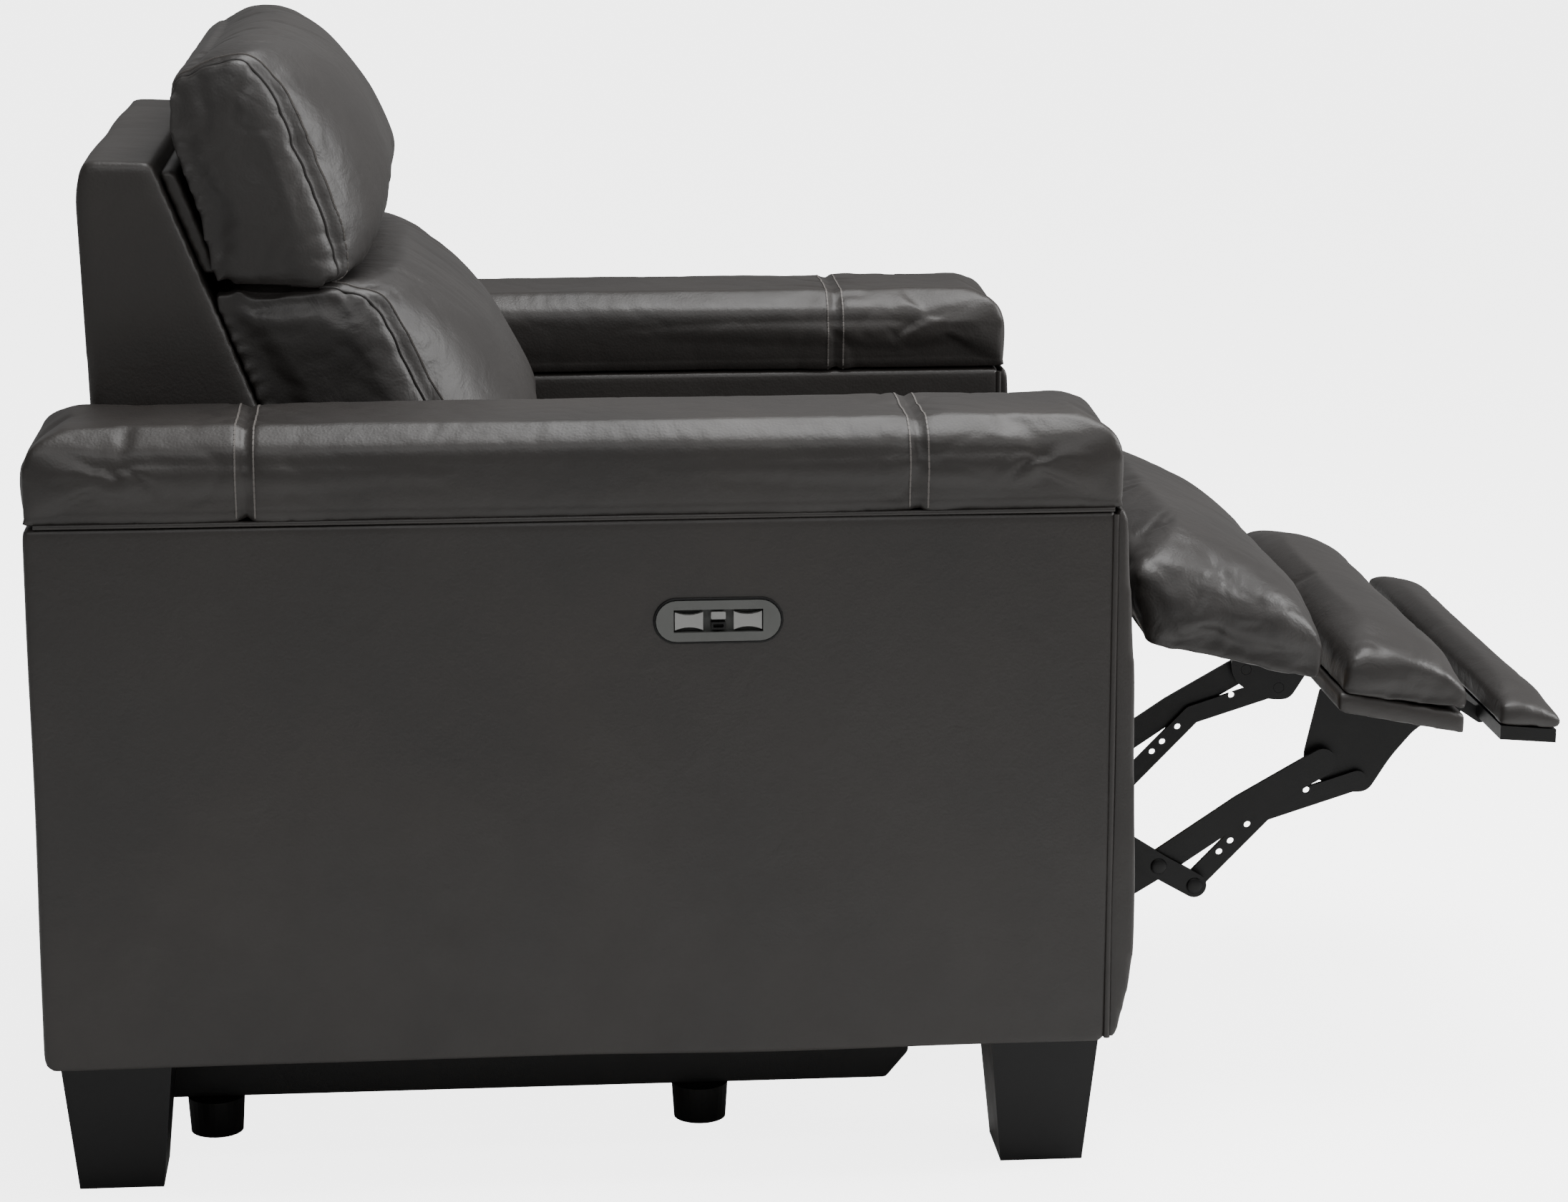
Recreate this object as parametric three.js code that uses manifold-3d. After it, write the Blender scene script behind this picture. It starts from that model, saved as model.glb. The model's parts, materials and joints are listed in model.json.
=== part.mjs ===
// A power recliner armchair with its footrest open, in millimetres, +Z up and facing -Y.
// Side profiles are lists of (forward, up) points: forward is measured from the rear face of the arms and grows
// towards the footrest. Each one is extruded across the chair, along X.
import * as THREE from "three";
import { mergeVertices } from "three/addons/utils/BufferGeometryUtils.js";
import Module from "manifold-3d";

const wasm = await Module();
wasm.setup();

// ---- driving dimensions ----
const openLength = 1315; // rear of the arms to the end of the flipper
const armLength = 885; // the flat side panel
const armBow = 21; // the padded front panel in front of it
const armHeight = 645; // floor to the crest of the arm pad
const armWidth = 150;
const innerWidth = 550; // between the arms
const armPadHeight = 72;
const armPadOverhang = 3; // the pad is this much wider than the panel on each side
const armPadLength = 892;
const armPadEnd = 58; // the round of the pad's front and rear ends
const armPadCrown = 42; // the round of its long edges
const coverWall = 12; // leather, foam and board together
const legHeight = 115;
const legTop = 92;
const legBottom = 70;
const footRadius = 24.75;
const footHeight = 32;
const fitGap = 0.3; // between pieces that touch
const steel = 4; // link and plate thickness
const layerStep = 5; // from one steel layer to the next
const linkInset = 85; // from an arm's inner face to the outermost layer
const linkWidth = 22;
const outerLinkWidth = 25;
const innerLinkWidth = 18;
const pinRadius = 5;
const holeRadius = 5.3;
const tubeSide = 25;
const boardThickness = 19;
const seatClearance = 9; // cushion to arm
const padClearance = 13; // footrest pads to arm
const plateLength = 102; // the control panel on the sitter's right-hand side
const plateHeight = 34;
const plateDepth = 2.7;
const windowLength = 73;
const windowHeight = 19;
const wellDepth = 9;
const backLean = 0.3932; // the joint between shell and cushion leans back this much per millimetre of height

// ---- places, as (forward, up) ----
const frontPivot = [832, 284]; // front link on the pivot plate
const crossPivot = [970, 195]; // front link on the outer link
const elbow = [1003, 176]; // front link on the inner link
const rearOffset = [-45, -27]; // from each front place to its rear twin, which makes a parallelogram
const bracketPivot = [1118, 287]; // outer link on the footrest bracket
const flipperPivot = [1240, 340];
const reclinePivot = [190, 345];
const headPivot = [165, 752];
const plateCentre = [558, 487];

const add = (a, b) => [a[0] + b[0], a[1] + b[1]];
const rearPivot = add(frontPivot, rearOffset);
const rearCross = add(crossPivot, rearOffset);
const innerEnd = add(bracketPivot, [elbow[0] - crossPivot[0], elbow[1] - crossPivot[1]]);
const halfInner = innerWidth / 2;
const halfOuter = halfInner + armWidth;

// ---- materials ----
const finishOf = (color, roughness, metalness = 0) =>
  new THREE.MeshStandardMaterial({ color, roughness, metalness });
const leather = finishOf("#4a4846", 0.45);
const blackSteel = finishOf("#1b1b1b", 0.45, 0.6);
const zincSteel = finishOf("#8d9092", 0.4, 0.9);
const plywood = finishOf("#b58f5f", 0.8);
const stainedWood = finishOf("#1c1c1e", 0.5);
const blackPlastic = finishOf("#151515", 0.5);
const greyPlastic = finishOf("#6f706e", 0.4);
const keyPlastic = finishOf("#8c8c8a", 0.35);

const group = new THREE.Group();

// ---- shape helpers ----
// A closed outline with rounded corners; a point's third number is its own corner radius.
function outline(points, radius = 0) {
  const shape = new THREE.Shape();
  const n = points.length;
  points.forEach((p, i) => {
    const here = new THREE.Vector2(p[0], p[1]);
    const before = new THREE.Vector2(...points[(i + n - 1) % n].slice(0, 2)).sub(here);
    const after = new THREE.Vector2(...points[(i + 1) % n].slice(0, 2)).sub(here);
    const reach = Math.min(p[2] ?? radius, before.length() * 0.48, after.length() * 0.48);
    const start = here.clone().add(before.setLength(reach));
    const end = here.clone().add(after.setLength(reach));
    if (i === 0) shape.moveTo(start.x, start.y);
    else shape.lineTo(start.x, start.y);
    if (reach > 0) shape.quadraticCurveTo(here.x, here.y, end.x, end.y);
  });
  shape.closePath();
  return shape;
}

// A side profile extruded from x = low to x = high.
function across(shape, low, high) {
  const turn = new THREE.Matrix4().makeBasis(
    new THREE.Vector3(0, -1, 0),
    new THREE.Vector3(0, 0, 1),
    new THREE.Vector3(-1, 0, 0),
  );
  const depth = { depth: high - low, bevelEnabled: false, curveSegments: 6 };
  return solid(new THREE.ExtrudeGeometry(shape, depth).applyMatrix4(turn).translate(high, 0, 0));
}

// A body trimmed to an (x, up) section all along the chair.
function trimmed(body, section) {
  const turn = new THREE.Matrix4().makeBasis(
    new THREE.Vector3(1, 0, 0),
    new THREE.Vector3(0, 0, 1),
    new THREE.Vector3(0, -1, 0),
  );
  const depth = { depth: 2 * openLength, bevelEnabled: false, curveSegments: 6 };
  const tool = new THREE.ExtrudeGeometry(section, depth).applyMatrix4(turn).translate(0, openLength / 2, 0);
  return body.intersect(solid(tool));
}

// A cushion: a side profile extruded to half its width each way, with its ends rounded above and below.
function cushion(name, profile, half, [bottom, top], round) {
  const section = outline([
    [-half, bottom, round.bottom],
    [half, bottom, round.bottom],
    [half, top, round.top],
    [-half, top, round.top],
  ]);
  part(name, trimmed(across(profile, -half, half), section), leather);
}

// A box between two corners given as x, forward and up.
function block(x, forward, up) {
  const box = new THREE.BoxGeometry(x[1] - x[0], forward[1] - forward[0], up[1] - up[0]);
  return solid(box.translate((x[0] + x[1]) / 2, -(forward[0] + forward[1]) / 2, (up[0] + up[1]) / 2));
}

// A round bar along X through a (forward, up) place.
function bar(place, radius, low, high, sides = 20) {
  const cylinder = new THREE.CylinderGeometry(radius, radius, high - low, sides).rotateZ(Math.PI / 2);
  return solid(cylinder.translate((low + high) / 2, -place[0], place[1]));
}

function solid(geometry) {
  const bare = geometry.clone();
  bare.deleteAttribute("normal");
  bare.deleteAttribute("uv");
  const merged = mergeVertices(bare, 1e-4);
  return new wasm.Manifold(
    new wasm.Mesh({
      numProp: 3,
      vertProperties: merged.getAttribute("position").array,
      triVerts: new Uint32Array(merged.index.array),
    }),
  );
}

const join = (first, ...rest) => rest.reduce((sum, body) => sum.add(body), first);
const cut = (first, ...tools) => tools.reduce((left, body) => left.subtract(body), first);

function part(name, body, finish) {
  const made = body.getMesh();
  const geometry = new THREE.BufferGeometry();
  geometry.setAttribute("position", new THREE.BufferAttribute(made.vertProperties, 3));
  geometry.setIndex(new THREE.BufferAttribute(made.triVerts, 1));
  geometry.translate(0, openLength / 2, 0);
  geometry.computeVertexNormals();
  const mesh = new THREE.Mesh(geometry, finish.clone());
  mesh.name = name;
  group.add(mesh);
}

// Makes a piece for the sitter's right hand (-X) and one for the left (+X), between two distances from the middle.
function bothSides(inner, outer, make) {
  make("right", -outer, -inner, -1);
  make("left", inner, outer, 1);
}

// A stadium outline, length along the chair.
function stadium(length, height, [forward, up]) {
  const radius = height / 2;
  const reach = length / 2 - radius;
  const turns = 12;
  const points = [];
  for (let i = 0; i <= turns; i++) {
    const angle = -Math.PI / 2 + (i * Math.PI) / turns;
    points.push([forward + reach + radius * Math.cos(angle), up + radius * Math.sin(angle)]);
  }
  for (let i = 0; i <= turns; i++) {
    const angle = Math.PI / 2 + (i * Math.PI) / turns;
    points.push([forward - reach + radius * Math.cos(angle), up + radius * Math.sin(angle)]);
  }
  return outline(points);
}

// ---- arms: plywood frame, leather cover, bowed front panel and wrapped top pad ----
const coverTop = armHeight - armPadHeight;
const windowBox = (from, to, extra) =>
  block(
    [from, to],
    [plateCentre[0] - windowLength / 2 - extra, plateCentre[0] + windowLength / 2 + extra],
    [plateCentre[1] - windowHeight / 2 - extra, plateCentre[1] + windowHeight / 2 + extra],
  );
const boxWall = 2;

function armCover(side, low, high) {
  const body = outline([
    [0, legHeight, 6],
    [armLength, legHeight, 3],
    [armLength, coverTop, 3],
    [0, coverTop, 6],
  ]);
  const hollow = block(
    [low + coverWall, high - coverWall],
    [coverWall, armLength - coverWall],
    [legHeight - 5, coverTop - coverWall],
  );
  const cover = cut(across(body, low, high), hollow);
  const pocketed = () => cut(cover, windowBox(low - 5, low + coverWall + 5, boxWall + fitGap));
  part(`arm_cover_${side}`, side === "right" ? pocketed() : cover, leather);
}
bothSides(halfInner, halfOuter, armCover);

function armFront(side, low, high) {
  const back = armLength + fitGap;
  const face = armLength + armBow;
  const profile = outline([
    [back, legHeight + 3, 2],
    [face - 14, legHeight + 3, 8],
    [face, legHeight + 60, 60],
    [face, coverTop - 190, 90],
    [face - 13, coverTop - fitGap, 4],
    [back, coverTop - fitGap, 2],
  ]);
  part(`arm_front_${side}`, across(profile, low, high), leather);
}
bothSides(halfInner, halfOuter, armFront);

function armTop(side, low, high) {
  const base = coverTop + fitGap;
  const profile = outline([
    [0, base, 1],
    [armPadLength, base, 1],
    [armPadLength, armHeight, armPadEnd],
    [0, armHeight, armPadEnd],
  ]);
  const belly = base + 24; // the pad's sides stand proud from here up, and meet the panel flush below
  const section = outline([
    [low + armPadOverhang, base, 1],
    [high - armPadOverhang, base, 1],
    [high, belly, 20],
    [high, armHeight, armPadCrown],
    [low, armHeight, armPadCrown],
    [low, belly, 20],
  ]);
  const pad = trimmed(across(profile, low, high), section);
  part(`arm_top_${side}`, pad, leather);
}
bothSides(halfInner - armPadOverhang, halfOuter + armPadOverhang, armTop);

// The panel inside each arm is one board; the legs bolt to its lower edge.
const frameBoard = 18;
function armFrame(side, low, high) {
  const [rear, front] = [coverWall + 4, armLength - coverWall - 4];
  const up = [legHeight + fitGap, coverTop - coverWall - fitGap];
  part(`arm_frame_${side}`, block([low, high], [rear, front], up), plywood);
}
const frameAt = halfInner + armWidth / 2 + 6;
bothSides(frameAt - frameBoard / 2, frameAt + frameBoard / 2, armFrame);

// ---- legs: square tapered posts under the arms ----
const legCentre = halfInner + armWidth / 2 + 9;
function leg(end, forward) {
  return (side, low, high, sign) => {
    const reach = Math.SQRT1_2;
    const height = legHeight;
    const post = new THREE.CylinderGeometry(legTop * reach, legBottom * reach, height, 4)
      .rotateY(Math.PI / 4)
      .rotateX(Math.PI / 2)
      .translate(sign * legCentre, -forward, height / 2);
    part(`leg_${end}_${side}`, solid(post), stainedWood);
  };
}
bothSides(0, 0, leg("rear", 57));
bothSides(0, 0, leg("front", armLength - 50));

// ---- base: two steel side plates on round feet, tied by two cross tubes ----
const plateOuter = halfInner - 9;
const plateInner = plateOuter - steel;
const railFront = 735;
const uprightTop = 312;
const footPlaces = { rear: 129, front: 551 };

function baseSidePlate(side, low, high, sign) {
  const profile = outline([
    [60, footHeight + fitGap, 6],
    [railFront - 20, footHeight + fitGap, 3],
    [railFront, footHeight + 24, 3],
    [railFront, 78, 6],
    [650, 92, 20],
    [636, uprightTop, 10],
    [250, uprightTop, 10],
    [222, 372, 14],
    [160, 372, 14],
    [150, 96, 20],
    [60, 78, 6],
  ]);
  const pin = sign > 0 ? [low - 2 - steel, low + 1] : [high - 1, high + 2 + steel];
  const body = join(across(profile, low, high), bar(reclinePivot, pinRadius, ...pin));
  part(`base_side_plate_${side}`, body, blackSteel);
}
bothSides(plateInner, plateOuter, baseSidePlate);

function foot(end, forward) {
  return (side, low, high, sign) => {
    const puck = new THREE.CylinderGeometry(footRadius, footRadius - 2, footHeight, 28)
      .rotateX(Math.PI / 2)
      .translate(sign * (plateInner - 2), -forward, footHeight / 2);
    part(`foot_${end}_${side}`, solid(puck), blackPlastic);
  };
}
for (const [end, forward] of Object.entries(footPlaces)) bothSides(0, 0, foot(end, forward));

const tubeHalf = plateInner - fitGap;
const tubeUp = [46, 46 + tubeSide];
part("cross_tube_rear", block([-tubeHalf, tubeHalf], [116, 116 + tubeSide], tubeUp), blackSteel);
part("cross_tube_front", block([-tubeHalf, tubeHalf], [636, 636 + tubeSide], tubeUp), blackSteel);

// The fixed leather panel that closes the chair's back below the shell.
const rearPanel = outline([[8, 118], [36, 118], [36, 312], [8, 312]], 5);
part("rear_panel", across(rearPanel, -halfInner + 2, halfInner - 2), leather);

// The power supply stands on the rear tube, with its mains inlet facing the rear.
const supplyUp = [tubeUp[1] + fitGap, tubeUp[1] + 42];
const inlet = block([86, 114], [80, 104], [supplyUp[0] + 10, supplyUp[0] + 28]);
part("power_supply", cut(block([40, 160], [94, 164], supplyUp), inlet), blackPlastic);

// ---- control panel in the outer face of the right arm ----
const panelFace = -halfOuter - fitGap - plateDepth;
const wellFloor = panelFace + wellDepth;
const panelPlate = across(stadium(plateLength, plateHeight, plateCentre), panelFace, panelFace + plateDepth);
const panelBox = windowBox(panelFace + plateDepth - 0.5, wellFloor + boxWall, boxWall);
part("control_bezel", cut(join(panelPlate, panelBox), windowBox(panelFace - 1, wellFloor, 0)), greyPlastic);

const keyFace = panelFace + 0.7;
const keyBack = wellFloor - 1.6;
// A rocker key is pinched at its middle, above and below.
function rocker(name, forward) {
  const [f, z] = add(plateCentre, [forward, 0]);
  const [long, tall] = [11.5, 7.5];
  const shape = new THREE.Shape();
  shape.moveTo(f - long, z - tall);
  shape.quadraticCurveTo(f, z - tall + 5, f + long, z - tall);
  shape.lineTo(f + long, z + tall);
  shape.quadraticCurveTo(f, z + tall - 5, f - long, z + tall);
  shape.closePath();
  part(name, across(shape, keyFace, keyBack), keyPlastic);
}
rocker("recline_rocker", -24);
rocker("headrest_rocker", 24);

const keyOutline = (forward, up, length, height) =>
  outline(
    [
      [plateCentre[0] + forward - length / 2, plateCentre[1] + up - height / 2],
      [plateCentre[0] + forward + length / 2, plateCentre[1] + up - height / 2],
      [plateCentre[0] + forward + length / 2, plateCentre[1] + up + height / 2],
      [plateCentre[0] + forward - length / 2, plateCentre[1] + up + height / 2],
    ],
    1.2,
  );
part("home_button", across(keyOutline(0, 4.3, 12, 6.2), keyFace, wellFloor - 2.5), keyPlastic);
const socketSlot = across(keyOutline(0, -4.3, 8.5, 3), keyFace - 1, keyFace + 4);
part(
  "usb_socket",
  cut(across(keyOutline(0, -4.3, 12, 6.2), keyFace, wellFloor - fitGap), socketSlot),
  blackPlastic,
);

// ---- seat: wooden ring frame, three zigzag springs, cushion, slide runners and pivot plates ----
const ringHalf = halfInner - 17;
const seatHalf = halfInner - seatClearance;
const [ringRear, ringFront, ringBottom, ringTop] = [300, 915, 318, 372];
const ringSide = 34;
part(
  "seat_frame",
  cut(
    block([-ringHalf, ringHalf], [ringRear, ringFront], [ringBottom, ringTop]),
    block(
      [-ringHalf + ringSide, ringHalf - ringSide],
      [ringRear + ringSide, ringFront - ringSide],
      [ringBottom - 5, ringTop + 5],
    ),
  ),
  plywood,
);

function seatRunner(side, low, high) {
  part(`seat_runner_${side}`, block([low, high], [ringRear + 10, ringFront - 25], [300, 317.7]), zincSteel);
}
bothSides(ringHalf - 13, ringHalf, seatRunner);

const wireRadius = 1.6;
function seatSpring(number, x) {
  const turns = 14;
  const swing = 24;
  const [start, end] = [ringRear + 6, ringFront - 6];
  const points = [];
  for (let i = 0; i <= turns; i++) {
    const side = i === 0 || i === turns ? 0 : i % 2 ? swing : -swing;
    const along = start + ((end - start) * i) / turns;
    points.push(new THREE.Vector3(x + side, -along, ringTop + fitGap + wireRadius));
  }
  const wire = new THREE.ExtrudeGeometry(new THREE.Shape().absarc(0, 0, wireRadius, 0, 2 * Math.PI), {
    extrudePath: new THREE.CatmullRomCurve3(points),
    steps: turns * 5,
    curveSegments: 3,
    bevelEnabled: false,
  });
  part(`seat_spring_${number}`, solid(wire), zincSteel);
}
[-150, 0, 150].forEach((x, i) => seatSpring(i + 1, x));

const seatCushion = outline([
  [315, 378, 14],
  [925, 378, 20],
  [925, 480, 20],
  [910, 505, 22],
  [800, 507, 40],
  [345, 485, 30],
  [315, 470, 14],
]);
cushion("seat_cushion", seatCushion, seatHalf, [378, 507], { bottom: 12, top: 26 });

// ---- footrest linkage: parallel steel layers on each side, numbered inwards from the pivot plate ----
const layer = (number) => {
  const outside = halfInner - linkInset - number * layerStep;
  return [outside - steel, outside];
};

// A flat link through its places, of one width, with a round end at each.
function link(places, width, [low, high]) {
  const bodies = places.map((place) => bar(place, width / 2, low, high, 24));
  places.slice(1).forEach((place, i) => {
    const from = new THREE.Vector2(...places[i]);
    const to = new THREE.Vector2(...place);
    const side = to.clone().sub(from);
    side.set(-side.y, side.x).setLength(width / 2);
    const corners = [
      from.clone().add(side),
      from.clone().sub(side),
      to.clone().sub(side),
      to.clone().add(side),
    ];
    bodies.push(across(outline(corners.map((corner) => [corner.x, corner.y])), low, high));
  });
  return join(...bodies);
}

const holeIn = (place, [low, high], radius = holeRadius) => bar(place, radius, low - 1, high + 1);
const onSide = (sign, [low, high]) => (sign > 0 ? [low, high] : [-high, -low]);
// A pin starts inside its own link's layer and ends flush with the far face of another layer.
const pin = (sign, place, own, other) => {
  const span = [Math.min(own[1] - 1, other[0]), Math.max(own[0] + 1, other[1])];
  return bar(place, pinRadius, ...onSide(sign, span));
};

const lightening = [[1027, 204], [1037, 214], [1052, 229], [1105, 260]]; // open holes in the inner link

function pivotPlate(side, low, high, sign) {
  const range = onSide(sign, layer(0));
  const profile = outline([
    [704, ringBottom - fitGap, 4],
    [730, 262, 20],
    [774, 232, 16],
    [806, 236, 16],
    [858, 268, 18],
    [880, 296, 10],
    [900, ringBottom - fitGap, 4],
  ]);
  part(
    `pivot_plate_${side}`,
    cut(across(profile, ...range), holeIn(frontPivot, range), holeIn(rearPivot, range)),
    blackSteel,
  );
}
bothSides(0, 0, pivotPlate);

// Both front links and the torque tube between them turn as one, driven by the lug.
function frontLinkAssembly() {
  const arms = [-1, 1].map((sign) => {
    const range = onSide(sign, layer(1));
    const arm = join(
      link([frontPivot, crossPivot, elbow], linkWidth, range),
      pin(sign, frontPivot, layer(1), layer(0)),
    );
    return cut(arm, holeIn(crossPivot, range), holeIn(elbow, range));
  });
  const reach = layer(1)[0] + 1;
  const lug = link([frontPivot, add(frontPivot, [-20, -45])], 18, [36, 44]);
  part("front_link_assembly", join(bar(frontPivot, 11, -reach, reach, 24), lug, ...arms), blackSteel);
}
frontLinkAssembly();

function rearLink(side, low, high, sign) {
  const range = onSide(sign, layer(1));
  const body = join(
    link([rearPivot, rearCross], linkWidth, range),
    pin(sign, rearPivot, layer(1), layer(0)),
  );
  part(`rear_link_${side}`, cut(body, holeIn(rearCross, range)), blackSteel);
}
bothSides(0, 0, rearLink);

function outerLink(side, low, high, sign) {
  const range = onSide(sign, layer(2));
  const body = join(
    link([rearCross, crossPivot, [1046, 246], bracketPivot], outerLinkWidth, range),
    pin(sign, rearCross, layer(2), layer(1)),
    pin(sign, crossPivot, layer(2), layer(1)),
    pin(sign, bracketPivot, layer(2), layer(4)),
  );
  part(`outer_link_${side}`, body, blackSteel);
}
bothSides(0, 0, outerLink);

function innerLink(side, low, high, sign) {
  const range = onSide(sign, layer(3));
  const body = join(
    link([elbow, [1066, 241], innerEnd], innerLinkWidth, range),
    pin(sign, elbow, layer(3), layer(1)),
    pin(sign, innerEnd, layer(3), layer(4)),
  );
  part(`inner_link_${side}`, cut(body, ...lightening.map((place) => holeIn(place, range, 3.2))), blackSteel);
}
bothSides(0, 0, innerLink);

// ---- footrest: brackets, board and pad, then the flipper hinged to its far end ----
const boardRear = 1113;
const boardFront = 1226;
const boardSlope = -22 / (boardFront - boardRear);
const boardTopAt = (forward) => 372 + (forward - boardRear) * boardSlope;
const boardBase = (forward) => boardTopAt(forward) - boardThickness;
const padHalf = halfInner - padClearance;
const boardHalf = padHalf - 4;

function footrestBracket(side, low, high, sign) {
  const range = onSide(sign, layer(4));
  const profile = outline([
    [boardRear + 3, boardBase(boardRear + 3) - fitGap, 2],
    [1102, 288, 14],
    [1110, 272, 8],
    [1140, 256, 10],
    [1162, 256, 8],
    [1182, 288, 10],
    [1204, 314, 12],
    [1222, 323.5, 3],
    [1237, 323.5, 4],
    [1249, 332, 6],
    [1249, 349, 8],
    [boardFront + 1.5, 349, 3],
    [boardFront + 1.5, boardBase(boardFront) - 2 * fitGap, 0.2],
  ]);
  part(
    `footrest_bracket_${side}`,
    cut(
      across(profile, ...range),
      ...[bracketPivot, innerEnd, flipperPivot].map((place) => holeIn(place, range)),
    ),
    blackSteel,
  );
}
bothSides(0, 0, footrestBracket);

const footrestBoard = outline([
  [boardRear, boardBase(boardRear)],
  [boardFront, boardBase(boardFront)],
  [boardFront, boardTopAt(boardFront)],
  [boardRear, boardTopAt(boardRear)],
]);
part("footrest_board", across(footrestBoard, -boardHalf, boardHalf), leather);

const footrestPad = outline([
  [1113, 373],
  [1234, 351, 8],
  [1232, 370, 14],
  [1205, 395, 24],
  [1168, 411, 24],
  [1130, 416, 14],
  [1115, 402, 12],
]);
cushion("footrest_pad", footrestPad, padHalf, [340, 416], { bottom: 0, top: 22 });

// The flipper's board ends in two steel arms that pivot beside the footrest brackets.
const flipperRear = 1254;
function flipperBoard() {
  const arms = [-1, 1].map((sign) =>
    join(
      link([flipperPivot, [1262, 325]], 11, onSide(sign, layer(3))),
      pin(sign, flipperPivot, layer(3), layer(4)),
    ),
  );
  const board = outline([[flipperRear + 4, 326], [1308, 322], [1308, 334], [flipperRear + 4, 338.6]]);
  part("flipper_board", join(across(board, -boardHalf, boardHalf), ...arms), blackSteel);
}
flipperBoard();

const flipperPad = outline([
  [flipperRear, 339.5, 3],
  [1308, 334.5, 2],
  [openLength, 334, 4],
  [openLength, 345, 8],
  [1286, 361, 14],
  [1258, 366, 8],
]);
cushion("flipper_pad", flipperPad, padHalf, [330, 366], { bottom: 0, top: 14 });

// The soft pad between the seat's front edge and the footrest hangs from its own hinge line.
const midPad = outline([
  [938, 425, 8],
  [930, 505, 14],
  [960, 507, 20],
  [1010, 488, 24],
  [1060, 462, 24],
  [1095, 432, 20],
  [1106, 405, 12],
  [1102, 380, 10],
  [1030, 402, 20],
]);
cushion("mid_pad", midPad, padHalf, [380, 507], { bottom: 16, top: 26 });

// ---- motors: the footrest's hangs under the seat, the recline's lies on the base ----
part(
  "footrest_motor",
  join(
    block([14, 66], [350, 440], [236, 317.7]),
    block([28, 52], [439, 740], [252, 276]),
    block([20, 60], [690, 735], [244, 284]),
  ),
  blackPlastic,
);
part(
  "recline_motor",
  join(
    block([-80, -24], [300, 400], [84, 156]),
    block([-64, -40], [399, 640], [100, 124]),
    block([-58, -46], [638, 660], [tubeUp[1] + fitGap, 122]),
  ),
  blackPlastic,
);

// ---- backrest: hollow leather shell, wooden frame, steel brackets and cushion ----
const backHalf = halfInner - 7;
const shellFront = (up) => 103 + backLean * (844 - up);
const shell = outline([
  [52, 400, 6],
  [38, 820, 12],
  [45, 848, 8],
  [shellFront(846), 846, 3],
  [shellFront(535), 535, 4],
  [shellFront(535), 400, 6],
]);
const wall = 14;
const cavity = outline([
  [52 + wall, 380],
  [40 + wall, 832],
  [shellFront(832) - wall, 832],
  [shellFront(535) - wall, 535 + wall / 2],
  [shellFront(535) - wall, 380],
]);
const apronHalf = backHalf - 18; // the apron hangs between the recline brackets
const apron = block([-apronHalf, apronHalf], [56, 76], [330, 412]);
part(
  "back_shell",
  join(cut(across(shell, -backHalf, backHalf), across(cavity, -backHalf + wall, backHalf - wall)), apron),
  leather,
);

// The board inside the shell follows its front wall and bends where that wall turns upright.
const boardDepth = 24;
const frameHalf = backHalf - wall - 2;
const frameFront = (up) => shellFront(Math.max(up, 545)) - wall - 2;
const frameRises = [404, 545, 815];
const backFrame = outline([
  ...frameRises.map((up) => [frameFront(up), up]),
  ...frameRises.map((up) => [frameFront(up) - boardDepth, up]).reverse(),
]);
part("back_frame", across(backFrame, -frameHalf, frameHalf), plywood);

function backBracket(side, low, high) {
  const profile = outline([
    [reclinePivot[0] - 19, reclinePivot[1] - 19, 14],
    [reclinePivot[0] + 19, reclinePivot[1] - 19, 14],
    [reclinePivot[0] + 19, 399, 4],
    [reclinePivot[0] - 19, 399, 4],
  ]);
  const range = [low, high];
  part(`back_bracket_${side}`, cut(across(profile, ...range), holeIn(reclinePivot, range)), zincSteel);
}
bothSides(plateInner - 2 - steel, plateInner - 2, backBracket);

const backCushion = outline([
  [shellFront(535) + 1, 507, 10],
  [398, 507, 20],
  [424, 570, 50],
  [392, 644, 60],
  [352, 712, 40],
  [325, 740, 24],
  [shellFront(735) + 60, 737, 12],
  [shellFront(733) + 1, 733, 4],
  [shellFront(535) + 1, 535, 3],
]);
cushion("back_cushion", backCushion, backHalf, [507, 740], { bottom: 24, top: 24 });

// ---- headrest: board and pillow that turn about the line where they meet the back cushion ----
const headBoardDepth = 14;
const headBoard = outline([
  [shellFront(752) + 1, 752],
  [shellFront(752) + 1 + headBoardDepth, 752],
  [shellFront(838) + 1 + headBoardDepth, 838],
  [shellFront(838) + 1, 838],
]);
part("headrest_board", across(headBoard, -backHalf + 12, backHalf - 12), leather);
const pillow = outline([
  [headPivot[0] - 9, headPivot[1] + 1, 3],
  [headPivot[0] + 70, headPivot[1] + 10, 8],
  [288, 786, 16],
  [297, 806, 24],
  [272, 872, 40],
  [240, 915, 30],
  [212, 944, 20],
  [190, 948, 20],
  [119, 912, 18],
  [shellFront(842) + headBoardDepth + 2, 842, 2],
]);
cushion("headrest_pad", pillow, backHalf, [750, 948], { bottom: 24, top: 34 });

export default group;
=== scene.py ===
"""A power recliner armchair in leather, with its footrest open. Metres, +Z up, the chair faces -Y."""
import json
import math

import bpy
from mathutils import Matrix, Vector, noise


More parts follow.
